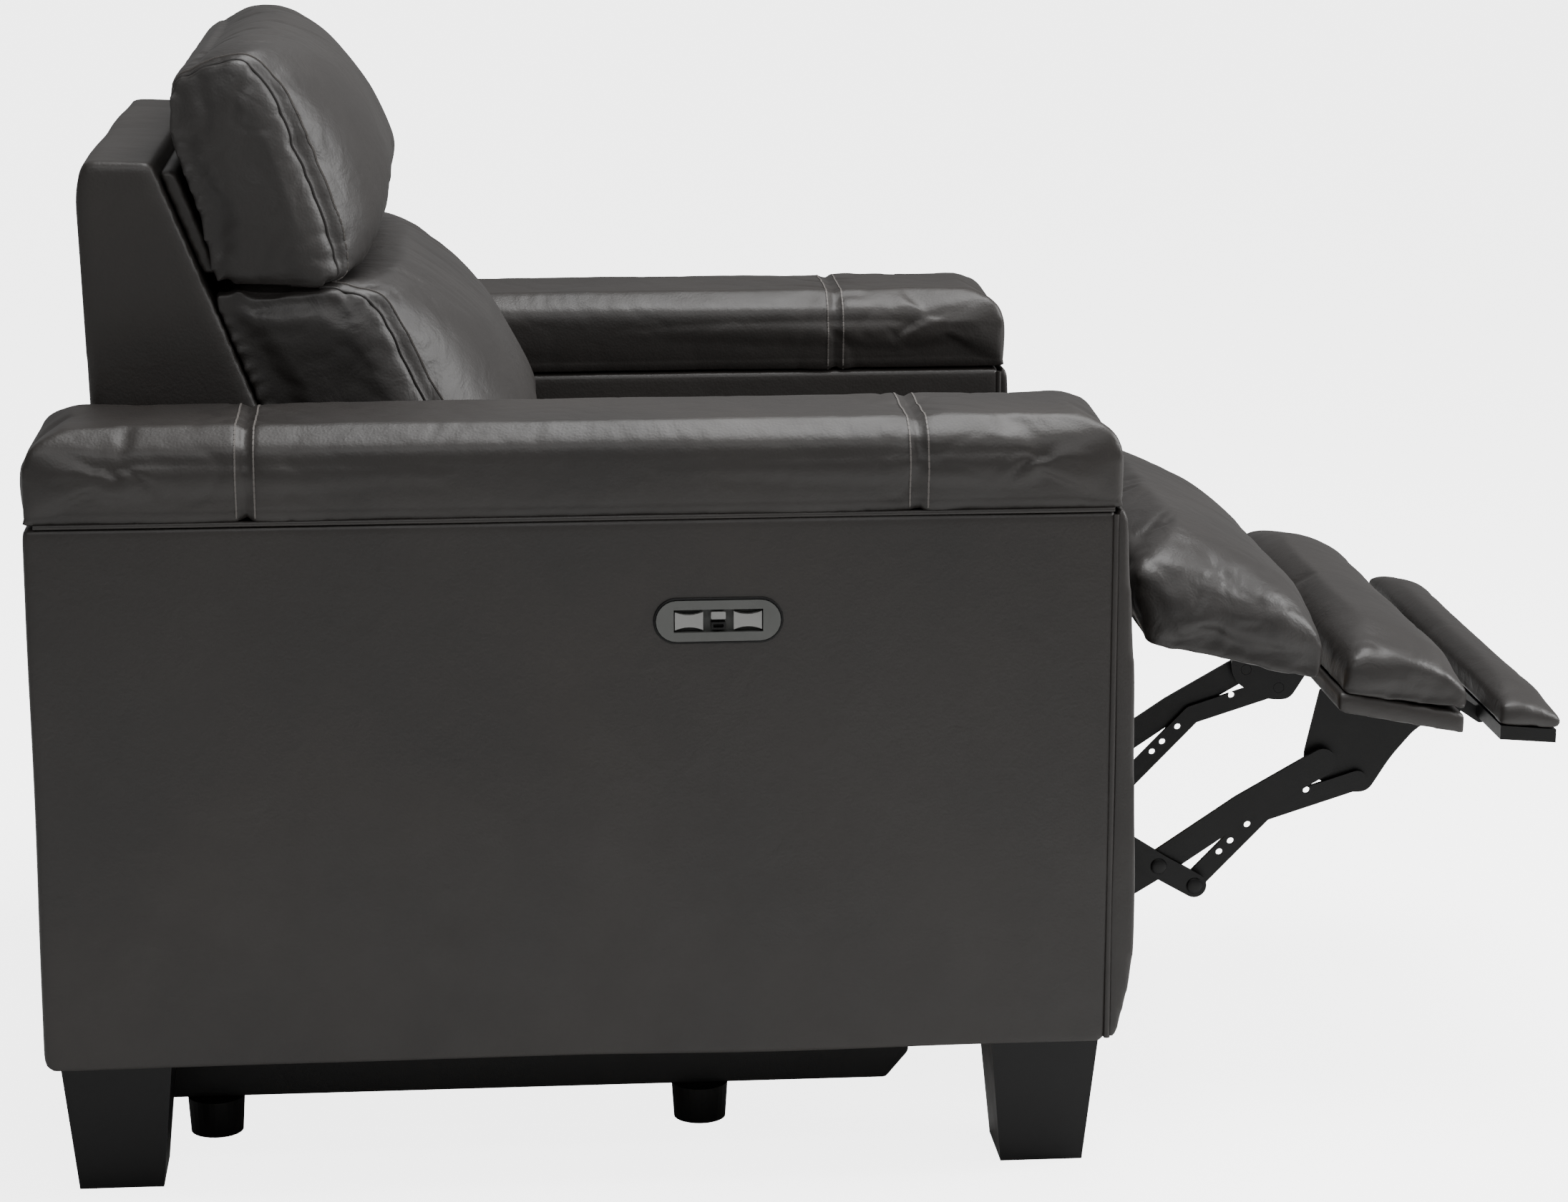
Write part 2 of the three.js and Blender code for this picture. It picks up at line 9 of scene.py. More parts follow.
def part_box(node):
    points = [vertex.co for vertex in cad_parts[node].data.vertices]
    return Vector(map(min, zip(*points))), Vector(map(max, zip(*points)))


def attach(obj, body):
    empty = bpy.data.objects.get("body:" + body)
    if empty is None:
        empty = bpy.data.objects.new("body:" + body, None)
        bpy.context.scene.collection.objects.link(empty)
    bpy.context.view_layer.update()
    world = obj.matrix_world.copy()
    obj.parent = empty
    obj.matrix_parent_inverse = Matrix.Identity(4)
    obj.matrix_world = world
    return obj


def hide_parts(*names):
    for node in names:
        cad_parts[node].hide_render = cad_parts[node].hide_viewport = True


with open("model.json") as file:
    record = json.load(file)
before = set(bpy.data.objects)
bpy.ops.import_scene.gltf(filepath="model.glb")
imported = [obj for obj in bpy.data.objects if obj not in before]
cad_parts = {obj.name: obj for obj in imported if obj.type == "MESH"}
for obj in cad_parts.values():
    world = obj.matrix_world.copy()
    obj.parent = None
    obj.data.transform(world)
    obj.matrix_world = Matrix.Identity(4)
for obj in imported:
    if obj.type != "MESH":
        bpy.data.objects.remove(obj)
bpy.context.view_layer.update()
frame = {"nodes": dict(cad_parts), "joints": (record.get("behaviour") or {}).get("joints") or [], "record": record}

# ---- Studio ----
# A pale seamless floor under large soft lights: one overhead, one on the footrest's side that rakes
# the leather, and a weak fill on the side panel.
CAMERA_PLACE = Vector((-3.525, 0.308, 1.219))
CAMERA_LOOK = Vector((5257.6, -444.7, -1216.2)).normalized()
camera_data = bpy.data.cameras.new("camera")
camera_data.lens = 90  # mm
camera_data.sensor_width = 36  # mm
camera = bpy.data.objects.new("camera", camera_data)
camera.location = CAMERA_PLACE
camera.rotation_euler = CAMERA_LOOK.to_track_quat("-Z", "Y").to_euler()
bpy.context.scene.collection.objects.link(camera)
bpy.context.scene.camera = camera


def linear(hex_colour):
    """An sRGB hex colour as the linear RGBA that shader sockets take."""
    parts = [int(hex_colour[i : i + 2], 16) / 255 for i in (1, 3, 5)]
    return (*[c / 12.92 if c <= 0.04045 else ((c + 0.055) / 1.055) ** 2.4 for c in parts], 1.0)


def add(material, kind, inputs=None, **settings):
    """Adds a node with its settings; an input is a value, or another node's output socket."""
    node = material.node_tree.nodes.new(kind)
    for key, value in settings.items():
        setattr(node, key, value)
    for key, value in (inputs or {}).items():
        if isinstance(value, bpy.types.NodeSocket):
            material.node_tree.links.new(value, node.inputs[key])
        else:
            node.inputs[key].default_value = value
    return node


def shader_of(name, roughness, metallic=0.0, sheen=0.5):
    """A new material, its Principled shader and its Object coordinates."""
    material = bpy.data.materials.new(name)
    material.use_nodes = True
    shader = material.node_tree.nodes["Principled BSDF"]
    shader.inputs["Roughness"].default_value = roughness
    shader.inputs["Specular IOR Level"].default_value = sheen
    shader.inputs["Metallic"].default_value = metallic
    place = add(material, "ShaderNodeTexCoord").outputs["Object"]
    return material, shader, place


def activate(piece):
    """Makes one piece the only selected and active object."""
    bpy.ops.object.select_all(action="DESELECT")
    piece.select_set(True)
    bpy.context.view_layer.objects.active = piece


FLOOR_GLOW = 4.0  # the floor is seen as bright as a lit studio sweep, but lights the chair no more than paper
bpy.ops.object.select_all(action="DESELECT")
bpy.ops.mesh.primitive_plane_add(size=60)
floor = bpy.context.object
floor.name = "studio_floor"
floor_paint, floor_shader, _ = shader_of("white_studio_floor", 0.9)
floor_shader.inputs["Base Color"].default_value = linear("#F4F4F3")
seen = add(floor_paint, "ShaderNodeLightPath").outputs["Is Camera Ray"]
glow = add(floor_paint, "ShaderNodeMath", {0: seen, 1: FLOOR_GLOW}, operation="MULTIPLY")
floor_shader.inputs["Emission Color"].default_value = linear("#FFFFFF")
floor_paint.node_tree.links.new(glow.outputs["Value"], floor_shader.inputs["Emission Strength"])
floor.data.materials.append(floor_paint)

world = bpy.data.worlds.new("studio_world")
bpy.context.scene.world = world
world.use_nodes = True
sky = world.node_tree.nodes["Background"]
sky.inputs["Color"].default_value = (1, 1, 1, 1)
ray = add(world, "ShaderNodeLightPath").outputs["Is Camera Ray"]
level = add(world, "ShaderNodeMapRange", {"Value": ray, "To Min": 0.30, "To Max": 5.0})
world.node_tree.links.new(level.outputs["Result"], sky.inputs["Strength"])

CHAIR_MIDDLE = Vector((0, 0, 0.45))
for light_name, place, size, power in (
    ("overhead_softbox", (0.1, -0.4, 2.8), (1.6, 1.6), 75),
    ("front_softbox", (-0.2, -2.8, 1.9), (1.4, 1.4), 85),
    ("side_strip", (-2.3, 0.2, 2.3), (2.6, 0.22), 20),
):
    lamp = bpy.data.lights.new(light_name, "AREA")
    lamp.shape = "RECTANGLE"
    lamp.size, lamp.size_y = size
    lamp.energy = power
    holder = bpy.data.objects.new(light_name, lamp)
    holder.location = place
    holder.rotation_euler = (CHAIR_MIDDLE - Vector(place)).to_track_quat("-Z", "Y").to_euler()
    bpy.context.scene.collection.objects.link(holder)


# ---- Leather ----
# Corrected-grain cowhide, dyed dark brown-grey and finished semi-gloss. Its pebbled grain is about 1 mm
# across, drawn at 2.2 mm so that it shows, over softer creases 20 to 40 mm long. The dye varies in
# cloudy patches.
GRAIN = 0.0022


def leather_of(name, light_hex, dark_hex, crease):
    """Leather between two dye colours; crease is how strongly its soft creases show."""
    material, shader, place = shader_of(name, 0.42)
    cloud = add(material, "ShaderNodeTexNoise", {"Vector": place, "Scale": 7.0, "Detail": 4.0})
    ramp = add(material, "ShaderNodeMix", {"Factor": cloud.outputs["Fac"]}, data_type="RGBA")
    ramp.inputs["A"].default_value = linear(dark_hex)
    ramp.inputs["B"].default_value = linear(light_hex)
    material.node_tree.links.new(ramp.outputs["Result"], shader.inputs["Base Color"])
    wear = add(material, "ShaderNodeTexNoise", {"Vector": place, "Scale": 24.0, "Detail": 5.0})
    gloss = add(
        material, "ShaderNodeMapRange",
        {"Value": wear.outputs["Fac"], "To Min": 0.40, "To Max": 0.56},
    )
    material.node_tree.links.new(gloss.outputs["Result"], shader.inputs["Roughness"])
    pebble = add(
        material, "ShaderNodeTexVoronoi", {"Vector": place, "Scale": 1 / GRAIN}, feature="SMOOTH_F1"
    )
    folds = add(
        material, "ShaderNodeTexNoise", {"Vector": place, "Scale": 26.0, "Detail": 3.0, "Distortion": 1.4}
    )
    soft = add(
        material, "ShaderNodeBump",
        {"Height": folds.outputs["Fac"], "Strength": crease, "Distance": 0.004},
    )
    grain = add(
        material, "ShaderNodeBump",
        {"Height": pebble.outputs["Distance"], "Strength": 0.22, "Distance": 0.0006,
         "Normal": soft.outputs["Normal"]},
    )
    material.node_tree.links.new(grain.outputs["Normal"], shader.inputs["Normal"])
    shader.inputs["IOR"].default_value = 1.5
    return material


panel_leather = leather_of("taut_panel_leather", "#2F2B28", "#1F1D1C", 0.10)
cushion_leather = leather_of("soft_cushion_leather", "#302D2B", "#211F1E", 0.30)


def soft_copy(node, name, voxel):
    """A new piece with one CAD node's shape, its corners softened by remeshing at the voxel's size."""
    piece = bpy.data.objects.new(name, frame["nodes"][node].data.copy())
    bpy.context.scene.collection.objects.link(piece)
    piece.data.materials.clear()
    activate(piece)
    bpy.ops.object.mode_set(mode="EDIT")
    bpy.ops.mesh.select_all(action="SELECT")
    bpy.ops.mesh.remove_doubles(threshold=0.00001)
    bpy.ops.object.mode_set(mode="OBJECT")
    remesh = piece.modifiers.new("skin", "REMESH")
    remesh.mode = "VOXEL"
    remesh.voxel_size = voxel
    smooth = piece.modifiers.new("soften", "SMOOTH")
    smooth.iterations = 6
    for modifier in ("skin", "soften"):
        bpy.ops.object.modifier_apply(modifier=modifier)
    return piece


CLOTH_FRAMES = 20


def swell(piece, limit, held):
    """Blows the piece up as cloth under pressure. No point moves past limit, and the held face stays."""
    rest = [v.co.copy() for v in piece.data.vertices]
    turned = [v.normal.copy() for v in piece.data.vertices]
    cloth = piece.modifiers.new("pressure", "CLOTH")
    cloth.settings.use_pressure = True
    cloth.settings.uniform_pressure_force = 4
    cloth.settings.effector_weights.gravity = 0
    cloth.point_cache.frame_start = 1
    cloth.point_cache.frame_end = CLOTH_FRAMES
    for step in range(1, CLOTH_FRAMES + 1):
        bpy.context.scene.frame_set(step)
    swollen = piece.evaluated_get(bpy.context.evaluated_depsgraph_get()).to_mesh()
    moved = [v.co.copy() for v in swollen.vertices]
    piece.modifiers.remove(cloth)
    for v, start, normal, end in zip(piece.data.vertices, rest, turned, moved):
        step = [max(-c, min(c, d)) for c, d in zip(limit, end - start)]
        hold = 0.0 if normal.dot(Vector(held)) > 0.5 else 1.0
        v.co = start + Vector(step) * hold
    bpy.context.scene.frame_set(1)


def draw_in(piece, reach, pull, power):
    """Pulls the ends of a cushion in: pull is how far a front or top point moves where |x| is reach."""
    axes = list(zip(*[v.co for v in piece.data.vertices]))
    low, high = Vector([min(a) for a in axes]), Vector([max(a) for a in axes])
    for v in piece.data.vertices:
        side = min(abs(v.co.x) / reach, 1.0) ** power
        front = (high.y - v.co.y) / (high.y - low.y)
        top = (v.co.z - low.z) / (high.z - low.z)
        v.co.y += pull[0] * side * front
        v.co.z -= pull[1] * side * top


def crease(piece, swellings, valleys, size, weight):
    """Works soft swellings and sharp creases, in metres, into the leather where weight(point) is above 0."""
    shifts = []
    for v in piece.data.vertices:
        much = weight(v.co)
        if much <= 0:
            shifts.append(None)
            continue
        wander = Vector((noise.noise(v.co * 9), noise.noise(v.co * 9 + Vector((5, 1, 3))), 0)) * 0.02
        line = math.exp(-((noise.noise((v.co + wander) / size) * 7) ** 2))
        swelling = noise.noise(v.co / (size * 2.2))
        shifts.append(v.normal * much * (swellings * swelling - valleys * line))
    for v, shift in zip(piece.data.vertices, shifts):
        if shift:
            v.co += shift


def groove(piece, distance, width, depth):
    """Sinks a seam's valley where distance(point) is near 0."""
    sunk = [math.exp(-((distance(v.co) / width) ** 2)) * depth for v in piece.data.vertices]
    normals = [v.normal.copy() for v in piece.data.vertices]
    for v, normal, sink in zip(piece.data.vertices, normals, sunk):
        v.co -= normal * sink


def finish_soft(piece, leather, body, nodes, subdivide=True):
    """Subdivides when asked, then shades and colours a padded piece, puts it on its body and hides the CAD nodes
    it replaces.
    """
    activate(piece)
    if subdivide:
        rounding = piece.modifiers.new("round", "SUBSURF")
        rounding.levels = 1
        rounding.render_levels = 1
        bpy.ops.object.modifier_apply(modifier="round")
    bpy.ops.object.shade_smooth()
    piece.data.materials.append(leather)
    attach(piece, body)
    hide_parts(*nodes)


def section_points(piece, x, centre, start, end, count, lift):
    """Points on the piece in the plane at x, seen from centre (y, z), between two angles from -Y to +Z."""
    found = []
    middle = Vector((x, *centre))
    for i in range(count):
        angle = math.radians(start + (end - start) * i / (count - 1))
        out = Vector((0, -math.cos(angle), math.sin(angle)))
        hit, place, normal, _ = piece.ray_cast(middle + out * 0.7, -out)
        if hit:
            found.append(place + normal * lift)
    return found


def welt(name, points, radius, body, leather):
    """A piped seam: leather sewn round a cord, along the points."""
    curve = bpy.data.curves.new(name, "CURVE")
    curve.dimensions = "3D"
    curve.bevel_depth = radius
    curve.bevel_resolution = 2
    curve.use_fill_caps = True
    line = curve.splines.new("POLY")
    line.points.add(len(points) - 1)
    for slot, point in zip(line.points, points):
        slot.co = (*point, 1)
    rope = bpy.data.objects.new(name, curve)
    bpy.context.scene.collection.objects.link(rope)
    activate(rope)
    bpy.ops.object.convert(target="MESH")
    bpy.ops.object.shade_smooth()
    rope.data.materials.append(leather)
    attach(rope, body)


# ---- Arms ----
# Each arm is a plywood box upholstered in taut leather over thin foam: a flat side, a bowed front panel
# sewn on at a piped seam, and a soft pad wrapped over the top with two cross seams.
thread_paint, thread_shader, _ = shader_of("waxed_polyester_thread", 0.55)
thread_shader.inputs["Base Color"].default_value = linear("#5C5855")
STITCH = (0.0032, 0.0007, 0.0006)  # half length, half width and half height of one stitch
STITCH_ROW = 0.0075  # each row of stitches to its seam
FRONT_WELT = 0.0028
JOINT_WELT = 0.0022


def stitches(name, points, body):
    """A row of thread stitches, one between each pair of neighbouring points."""
    vertices, faces = [], []
    for a, b in zip(points, points[1:]):
        along = (b - a).normalized()
        side = along.cross(Vector((0, 0, 1)) if abs(along.z) < 0.9 else Vector((1, 0, 0))).normalized()
        up = side.cross(along)
        middle = (a + b) / 2
        first = len(vertices)
        for end, wide in ((-1, 0.4), (-0.6, 1), (0.6, 1), (1, 0.4)):
            for u, w in ((-1, -1), (1, -1), (1, 1), (-1, 1)):
                vertices.append(
                    middle + along * end * STITCH[0]
                    + side * u * wide * STITCH[1] + up * w * wide * STITCH[2]
                )
        for ring in range(3):
            for k in range(4):
                low, high = first + ring * 4, first + ring * 4 + 4
                faces.append((low + k, low + (k + 1) % 4, high + (k + 1) % 4, high + k))
        faces.append((first + 3, first + 2, first + 1, first))
        faces.append((first + 12, first + 13, first + 14, first + 15))
    mesh = bpy.data.meshes.new(name)
    mesh.from_pydata(vertices, [], faces)
    row = bpy.data.objects.new(name, mesh)
    bpy.context.scene.collection.objects.link(row)
    activate(row)
    bpy.ops.object.mode_set(mode="EDIT")
    bpy.ops.mesh.select_all(action="SELECT")
    bpy.ops.mesh.normals_make_consistent(inside=False)
    bpy.ops.object.mode_set(mode="OBJECT")
    row.data.materials.append(thread_paint)
    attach(row, body)


arm_low, arm_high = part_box("arm_top_right")
ARM_SEAMS = (arm_high.y - 0.179, arm_high.y - 0.722)
for side, sign in (("right", -1), ("left", 1)):
    cover = soft_copy(f"arm_cover_{side}", f"arm_side_{side}", 0.005)
    crease(cover, 0.0018, 0.0, 0.10, lambda p: 1.0)
    finish_soft(cover, panel_leather, "base", [f"arm_cover_{side}"], subdivide=False)

    front = soft_copy(f"arm_front_{side}", f"arm_front_leather_{side}", 0.004)
    crease(front, 0.002, 0.0, 0.06, lambda p: 1.0)
    finish_soft(front, panel_leather, "base", [f"arm_front_{side}"], subdivide=False)

    pad = soft_copy(f"arm_top_{side}", f"arm_pad_{side}", 0.004)
    swell(pad, (0.002, 0.002, 0.005), held=(0, 0, -1))
    for seam in ARM_SEAMS:
        groove(pad, lambda p, at=seam: p.y - at, 0.004, 0.0035)
    crease(
        pad, 0.0022, 0.0012, 0.03,
        lambda p: 0.25 + max(math.exp(-(((p.y - seam) / 0.035) ** 2)) for seam in ARM_SEAMS),
    )
    finish_soft(pad, panel_leather, "base", [f"arm_top_{side}"], subdivide=False)
    middle = sign * (abs(arm_low.x) + abs(arm_high.x)) / 2
    for number, seam in enumerate(ARM_SEAMS):
        for row, offset in (("rear", STITCH_ROW), ("front", -STITCH_ROW)):
            points = []
            for i in range(57):
                angle = math.radians(-20 + 220 * i / 56)
                out = Vector((math.cos(angle), 0, math.sin(angle)))
                hit, place, normal, _ = pad.ray_cast(
                    Vector((middle, seam + offset, 0.60)) + out * 0.3, -out
                )
                if hit:
                    points.append(place + normal * 0.0002)
            stitches(f"arm_stitches_{side}_{number}_{row}", points, "base")

    low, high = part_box(f"arm_cover_{side}")
    for edge, x in (("near", low.x + 0.002), ("far", high.x - 0.002)):
        rises = [low.z + 0.004 + (high.z - low.z - 0.008) * i / 20 for i in range(21)]
        welt(
            f"arm_front_welt_{side}_{edge}", [Vector((x, low.y + 0.0005, z)) for z in rises],
            FRONT_WELT, "base", panel_leather,
        )

    # The pad's cover is sewn to the side's along a flat joint.
    outer = sign * (max(abs(low.x), abs(high.x)) - 0.0016)
    lengths = [low.y + 0.002 + (high.y - low.y - 0.012) * i / 30 for i in range(31)]
    welt(
        f"arm_joint_{side}", [Vector((outer, y, high.z + 0.0002)) for y in lengths],
        JOINT_WELT, "base", panel_leather,
    )


# ---- Rear panel ----
# A leather-covered board stapled across the back of the two arms, with a folded top edge.
panel = soft_copy("rear_panel", "rear_panel_leather", 0.005)
crease(panel, 0.002, 0.0, 0.08, lambda p: 1.0)
finish_soft(panel, panel_leather, "base", ["rear_panel"], subdivide=False)


# ---- Seat and footrest cushions ----
# Cut foam wrapped in fibre and soft leather: the seat, the pad that bridges to the footrest, the
# footrest pad and the flipper. Each cover is gathered at its sides, where the leather folds.
SEAT_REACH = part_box("seat_cushion")[1].x
PAD_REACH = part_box("mid_pad")[1].x


def side_folds(reach):
    """How strongly the leather folds at a point: weakly in the middle, fully where |x| is reach."""
    return lambda p: 0.15 + 0.85 * max(0.0, (abs(p.x) / reach - 0.72) / 0.28)


for node, name, body, limit, pull, folds in (
    ("seat_cushion", "seat_leather", "seat", (0.003, 0.003, 0.016), (0.006, 0.014), 0.007),
    ("mid_pad", "bridge_leather", "mid_pad", (0.005, 0.004, 0.012), (0.004, 0.020), 0.014),
    ("footrest_pad", "footrest_leather", "footrest", (0.005, 0.003, 0.009), (0.002, 0.012), 0.009),
    ("flipper_pad", "flipper_leather", "flipper", (0.005, 0.003, 0.006), (0.002, 0.006), 0.005),
):
    cushion = soft_copy(node, name, 0.006)
    swell(cushion, limit, held=(0, 0, -1))
    reach = SEAT_REACH if node == "seat_cushion" else PAD_REACH
    draw_in(cushion, reach, pull, 6)
    crease(cushion, folds * 0.5, folds * 0.16, 0.030, side_folds(reach))
    finish_soft(cushion, cushion_leather, body, [node])

# The footrest's board is wrapped in the same leather and stapled underneath.
board = soft_copy("footrest_board", "footrest_board_leather", 0.004)
finish_soft(board, panel_leather, "footrest", ["footrest_board"], subdivide=False)

# ---- Back and headrest ----
# A hard shell covered in taut leather carries a deep lumbar cushion and a headrest pillow. Both are
# sewn from a crowned front and flat side walls, joined by a piped seam.
shell = soft_copy("back_shell", "back_shell_leather", 0.005)
crease(shell, 0.002, 0.0, 0.08, lambda p: 1.0)
finish_soft(shell, panel_leather, "backrest", ["back_shell"], subdivide=False)
BACK_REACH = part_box("back_shell")[1].x
ARM_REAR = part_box("arm_cover_right")[1].y
STATIONS = 36  # steps across each cushion
SEAM_INSET = 0.013  # the seams' distance in from the sides of the back
STITCH_INSET = 0.021


def crowned(name, side_outline, middle_outline, reach):
    """A closed cushion between two outlines of (forward, up) points: one at its sides, one at its middle."""
    def ring(x):
        rise = math.sqrt(1 - min(abs(x) / reach, 1.0) ** 3.5)
        mixed = [Vector(a).lerp(Vector(b), rise) for a, b in zip(side_outline, middle_outline)]
        points = []
        for i, here in enumerate(mixed):
            before, after, beyond = mixed[i - 1], mixed[(i + 1) % len(mixed)], mixed[(i + 2) % len(mixed)]
            for k in range(4):
                u = k / 4
                bend = (after - before) * 0.5, (beyond - here) * 0.5
                spot = (
                    here * (2 * u**3 - 3 * u**2 + 1) + after * (3 * u**2 - 2 * u**3)
                    + (bend[0] * (u**3 - 2 * u**2 + u) + bend[1] * (u**3 - u**2)) * 0.6
                )
                points.append(Vector((x, ARM_REAR - spot.x, spot.y)))
        return points

    rings = [ring(reach * math.sin(math.pi / 2 * (2 * i / STATIONS - 1))) for i in range(STATIONS + 1)]
    count = len(rings[0])
    faces = [
        (i * count + k, i * count + (k + 1) % count, (i + 1) * count + (k + 1) % count, (i + 1) * count + k)
        for i in range(STATIONS) for k in range(count)
    ]
    faces += [tuple(range(count)), tuple(range(STATIONS * count, (STATIONS + 1) * count))]
    mesh = bpy.data.meshes.new(name)
    mesh.from_pydata([p for r in rings for p in r], [], faces)
    piece = bpy.data.objects.new(name, mesh)
    bpy.context.scene.collection.objects.link(piece)
    activate(piece)
    bpy.ops.object.mode_set(mode="EDIT")
    bpy.ops.mesh.select_all(action="SELECT")
    bpy.ops.mesh.normals_make_consistent(inside=False)
    bpy.ops.object.mode_set(mode="OBJECT")
    remesh = piece.modifiers.new("skin", "REMESH")
    remesh.mode = "VOXEL"
    remesh.voxel_size = 0.005
    smooth = piece.modifiers.new("soften", "SMOOTH")
    smooth.iterations = 4
    for modifier in ("skin", "soften"):
        bpy.ops.object.modifier_apply(modifier=modifier)
    return piece


LUMBAR_SIDE = (
    (0.2265, 0.508), (0.322, 0.508), (0.318, 0.556), (0.303, 0.600), (0.288, 0.636), (0.275, 0.672),
    (0.258, 0.726), (0.236, 0.738), (0.192, 0.738), (0.148, 0.735), (0.187, 0.634), (0.2265, 0.535),
)
LUMBAR_MIDDLE = (
    (0.2265, 0.508), (0.392, 0.508), (0.422, 0.556), (0.412, 0.606), (0.389, 0.650), (0.362, 0.695),
    (0.322, 0.734), (0.270, 0.736), (0.205, 0.734), (0.149, 0.731), (0.187, 0.634), (0.2265, 0.535),
)
PILLOW_SIDE = (
    (0.152, 0.742), (0.204, 0.740), (0.241, 0.740), (0.226, 0.776), (0.207, 0.828), (0.195, 0.866),
    (0.184, 0.901), (0.172, 0.925), (0.146, 0.924), (0.119, 0.911), (0.118, 0.862), (0.138, 0.802),
)
PILLOW_MIDDLE = (
    (0.163, 0.748), (0.230, 0.750), (0.284, 0.752), (0.297, 0.789), (0.286, 0.832), (0.266, 0.876),
    (0.238, 0.914), (0.200, 0.943), (0.160, 0.938), (0.121, 0.913), (0.118, 0.862), (0.138, 0.802),
)
NOTCH = Vector((0, ARM_REAR - 0.250, 0.736))  # where headrest and lumbar cushion press together
EAR = Vector((0, ARM_REAR - 0.165, 0.890))  # the headrest's gathered upper corner


def back_folds(p):
    """Folds gather at the sides, most of all in the notch and at the headrest's upper corner."""
    flat = Vector((0, p.y, p.z))
    side = max(0.0, (abs(p.x) / BACK_REACH - 0.80) / 0.20)
    gather = math.exp(-(((flat - NOTCH).length / 0.05) ** 2)) + math.exp(-(((flat - EAR).length / 0.05) ** 2))
    return 0.10 + side * (0.25 + 0.9 * gather)


for node, name, body, outlines, centre, arc in (
    ("back_cushion", "lumbar_leather", "backrest", (LUMBAR_SIDE, LUMBAR_MIDDLE), (0.400, 0.62), (-60, 100)),
    ("headrest_pad", "headrest_leather", "headrest", (PILLOW_SIDE, PILLOW_MIDDLE), (0.480, 0.84), (-70, 130)),
):
    cushion = crowned(name, *outlines, BACK_REACH - 0.003)
    swell(cushion, (0.003, 0.008, 0.006), held=(0, 1, 0))
    crease(cushion, 0.005, 0.0017, 0.026, back_folds)
    for sign in (-1, 1):
        groove(cushion, lambda p, at=sign: p.x - at * (BACK_REACH - SEAM_INSET), 0.004, 0.0025)
    finish_soft(cushion, cushion_leather, body, [node])
    for side, sign in (("right", -1), ("left", 1)):
        points = section_points(cushion, sign * (BACK_REACH - SEAM_INSET), centre, *arc, 70, 0.0)
        welt(f"{node}_seam_{side}", points, 0.0016, body, cushion_leather)
        row = section_points(cushion, sign * (BACK_REACH - STITCH_INSET), centre, *arc, 70, 0.0003)
        stitches(f"{node}_stitches_{side}", row, body)

headboard = soft_copy("headrest_board", "headrest_board_leather", 0.004)
finish_soft(headboard, panel_leather, "headrest", ["headrest_board"], subdivide=False)


# ---- Hard parts ----
# The steel mechanism is stamped strip, powder coated black; slides and springs are bright zinc. Legs are
# solid hardwood in black lacquer, the inner frame is bare plywood, and the controls are moulded ABS.
def hard_finish(name, light_hex, dark_hex, rough, metallic, scale, bump):
    """A hard finish whose colour and gloss vary at one scale, with a fine bump."""
    material, shader, place = shader_of(name, rough, metallic, 0.5 if metallic else 0.28)
    mottle = add(material, "ShaderNodeTexNoise", {"Vector": place, "Scale": scale, "Detail": 6.0})
    blend = add(material, "ShaderNodeMix", {"Factor": mottle.outputs["Fac"]}, data_type="RGBA")
    blend.inputs["A"].default_value = linear(dark_hex)
    blend.inputs["B"].default_value = linear(light_hex)
    material.node_tree.links.new(blend.outputs["Result"], shader.inputs["Base Color"])
    gloss = add(
        material, "ShaderNodeMapRange",
        {"Value": mottle.outputs["Fac"], "To Min": rough - 0.08, "To Max": rough + 0.08},
    )
    material.node_tree.links.new(gloss.outputs["Result"], shader.inputs["Roughness"])
    fine = add(material, "ShaderNodeTexNoise", {"Vector": place, "Scale": 900.0, "Detail": 2.0})
    rise = add(
        material, "ShaderNodeBump",
        {"Height": fine.outputs["Fac"], "Strength": bump, "Distance": 0.0004},
    )
    material.node_tree.links.new(rise.outputs["Normal"], shader.inputs["Normal"])
    return material


finishes = {
    "black_steel": hard_finish("black_powder_coat", "#0E0E0E", "#080808", 0.42, 0.0, 40, 0.25),
    "zinc_steel": hard_finish("bright_zinc_plate", "#A2A4A5", "#8A8C8D", 0.34, 1.0, 60, 0.10),
    "leg_wood": hard_finish("black_lacquered_hardwood", "#0D0D0E", "#070708", 0.38, 0.0, 30, 0.10),
    "plywood": hard_finish("birch_plywood", "#C4A071", "#A8824F", 0.75, 0.0, 35, 0.30),
    "black_plastic": hard_finish("moulded_black_abs", "#0E0E0E", "#090909", 0.5, 0.0, 50, 0.20),
    "bezel_plastic": hard_finish("moulded_grey_abs", "#5F605E", "#555654", 0.42, 0.0, 50, 0.15),
    "key_plastic": hard_finish("moulded_light_grey_abs", "#939391", "#858583", 0.34, 0.0, 50, 0.10),
}
for entry in frame["record"]["subparts"]:
    if entry["material_slot"] in finishes:
        node = frame["nodes"][entry["node"]]
        node.data.materials.clear()
        node.data.materials.append(finishes[entry["material_slot"]])


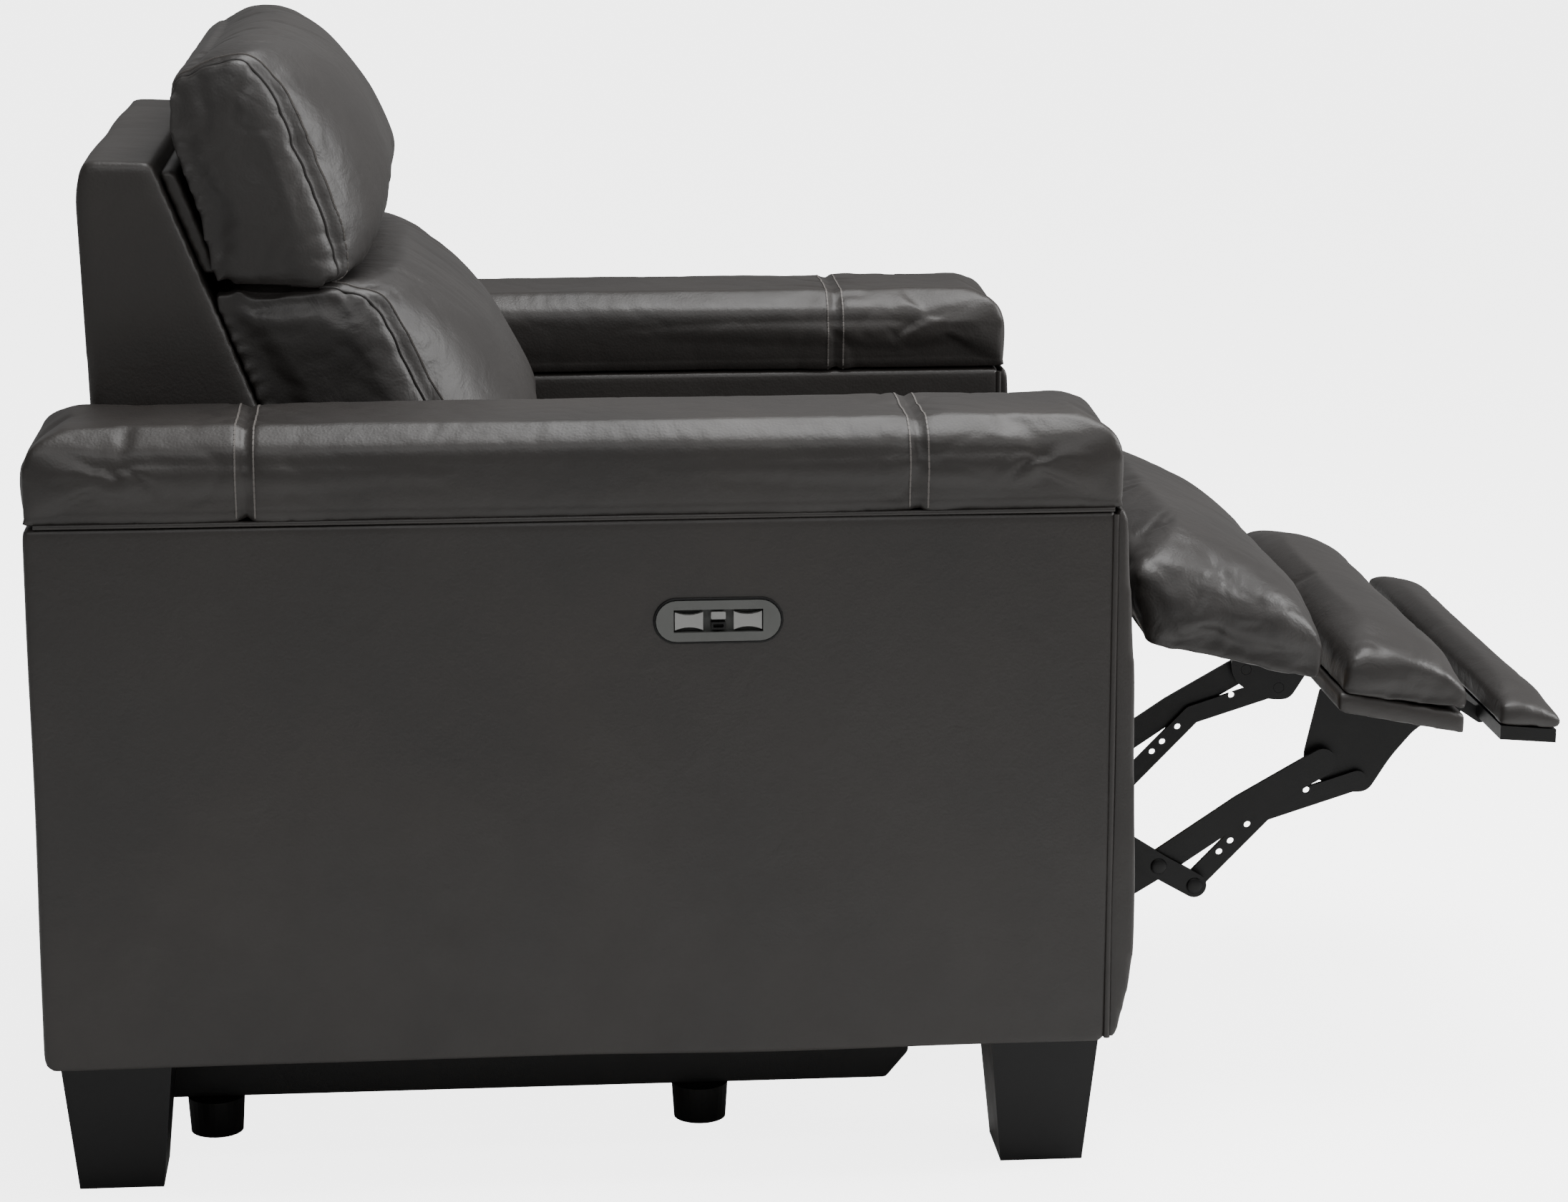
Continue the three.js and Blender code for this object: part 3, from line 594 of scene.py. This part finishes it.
# ---- Small parts ----
# A black gasket lies round the control panel, on the leather. Rivets with low domed heads hold the
# footrest's links to one another and to the plates behind them.
GASKET_RADIUS = 0.0013
GASKET_GAP = 0.0009  # from the panel's edge to the middle of the gasket
RIVET_RADIUS = 0.0075
RIVET_FLATNESS = 0.26  # a head's height over its radius
plate_low, plate_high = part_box("control_bezel")
radius = (plate_high.z - plate_low.z) / 2
loop = []
for i in range(64):
    angle = 2 * math.pi * i / 64
    reach = (plate_high.y - plate_low.y) / 2 - radius
    shift = reach if math.cos(angle) > 0 else -reach
    middle_y, middle_z = (plate_high.y + plate_low.y) / 2, (plate_high.z + plate_low.z) / 2
    loop.append(Vector((
        arm_low.x + 0.0022,
        middle_y + shift + (radius + GASKET_GAP) * math.cos(angle),
        middle_z + (radius + GASKET_GAP) * math.sin(angle),
    )))
welt("control_gasket", loop + loop[:2], GASKET_RADIUS, "base", finishes["black_plastic"])

joints = {joint["name"]: joint["pos_m"] for joint in frame["joints"] if "pos_m" in joint}
step_y = joints["outer_link"][1] - joints["footrest_fold"][1]
step_z = joints["outer_link"][2] - joints["footrest_fold"][2]
front_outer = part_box("front_link_assembly")[1].x - 0.005
plate_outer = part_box("pivot_plate_left")[1].x
rear_cross = (joints["rear_link"][1] + step_y, joints["rear_link"][2] + step_z)
RIVETS = {
    "front_links": [(joints["footrest_fold"][1:], plate_outer)],
    "rear_links": [(joints["rear_link"][1:], plate_outer)],
    "outer_links": [(joints["outer_link"][1:], front_outer), (rear_cross, front_outer)],
    "inner_links": [(joints["inner_link"][1:], front_outer)],
}
for body, places in RIVETS.items():
    heads = []
    for (y, z), outer in places:
        for sign in (-1, 1):
            bpy.ops.object.select_all(action="DESELECT")
            bpy.ops.mesh.primitive_uv_sphere_add(
                segments=20, ring_count=10, radius=RIVET_RADIUS,
                location=(sign * outer, y, z), scale=(RIVET_FLATNESS, 1, 1), rotation=(0, 0, 0),
            )
            heads.append(bpy.context.object)
    bpy.ops.object.select_all(action="DESELECT")
    for head in heads:
        head.select_set(True)
    bpy.context.view_layer.objects.active = heads[0]
    bpy.ops.object.join()
    bpy.ops.object.transform_apply(location=True, rotation=True, scale=True)
    bpy.ops.object.shade_smooth()
    heads[0].name = f"rivets_{body}"
    heads[0].data.materials.append(finishes["black_steel"])
    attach(heads[0], body)
